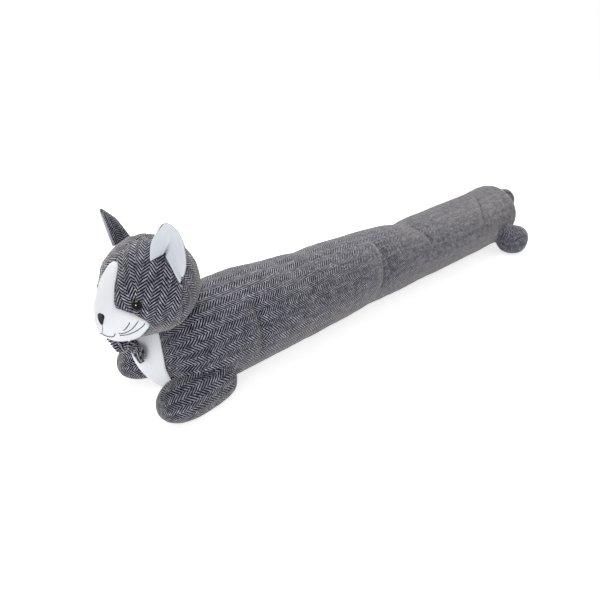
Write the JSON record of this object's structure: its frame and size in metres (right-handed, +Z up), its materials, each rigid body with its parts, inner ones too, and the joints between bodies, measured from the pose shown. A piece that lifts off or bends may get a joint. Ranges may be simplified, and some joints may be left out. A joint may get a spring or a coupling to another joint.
{
  "type": "draught excluder",
  "caption": "Cat-shaped draught excluder: a long stuffed tube of herringbone tweed with legs, a white bib, a round head with a white face, cupped ears, a bow tie and a tail.",
  "frame": {"origin": "on the floor, under the middle of the whole object's box", "axes": "+X along the tube from the head to the tail, +Y toward the cat's right side, +Z up"},
  "size_m": [0.9253, 0.2172, 0.2173],
  "materials": {
    "herringbone_tweed": "woven, matt, dark navy and light grey herringbone",
    "white_fleece": "short smooth pile, matt",
    "eye_black": "polished",
    "black_thread": "satin stitch"
  },
  "bodies": {
    "root": {"body": "herringbone_tweed", "bib": "white_fleece", "head": "herringbone_tweed", "face_panel": "white_fleece", "nose": "black_thread", "eye_left": "eye_black", "eye_right": "eye_black", "ear_left_lining": "white_fleece", "ear_left_back": "herringbone_tweed", "ear_right_lining": "white_fleece", "ear_right_back": "herringbone_tweed", "bow_knot": "herringbone_tweed", "bow_lobe_left": "herringbone_tweed", "bow_lobe_right": "herringbone_tweed", "tail": "herringbone_tweed"}
  },
  "joints": []
}
